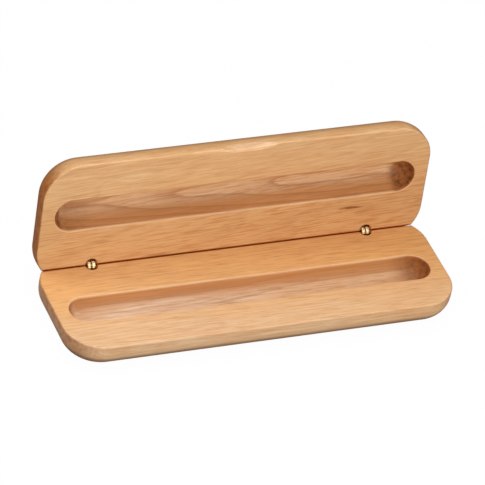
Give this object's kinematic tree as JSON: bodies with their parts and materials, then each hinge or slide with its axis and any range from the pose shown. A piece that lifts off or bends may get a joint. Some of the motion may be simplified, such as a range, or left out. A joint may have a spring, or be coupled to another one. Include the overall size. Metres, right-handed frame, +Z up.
{
  "type": "hinged wooden pen box",
  "caption": "Slim hinged wooden box for a single pen, shown open: two mirrored halves with round-ended grooves, brass barrel hinges and a thumb notch.",
  "frame": {"origin": "centre of the flat underside of the base", "axes": "+X along the length, +Z up, the open lid stands at the +Y side and the box is used from -Y"},
  "size_m": [0.175, 0.0674, 0.0632],
  "materials": {
    "wood": "satin lacquered",
    "brass": "polished"
  },
  "bodies": {
    "base": {"base_half": "wood", "left_base_barrel": "brass", "left_base_pin": "brass", "right_base_barrel": "brass", "right_base_pin": "brass"},
    "links": {"left_outer_leaf": "brass", "left_inner_leaf": "brass", "right_outer_leaf": "brass", "right_inner_leaf": "brass"},
    "lid": {"lid_half": "wood", "left_lid_barrel": "brass", "left_lid_pin": "brass", "right_lid_barrel": "brass", "right_lid_pin": "brass"}
  },
  "joints": [
    {"name": "link_swing", "type": "hinge", "parent": "base", "child": "links", "pos_m": [0, 0.02141, 0.0121], "axis": [1, 0, 0], "range_deg": [0, 47.7]},
    {"name": "lid_swing", "type": "hinge", "parent": "links", "child": "lid", "pos_m": [0, 0.02274, 0.01331], "axis": [1, 0, 0], "range_deg": [0, 47.7]}
  ],
  "couplings": [
    {"joint": "link_swing", "follows": "lid_swing", "ratio": 1}
  ]
}
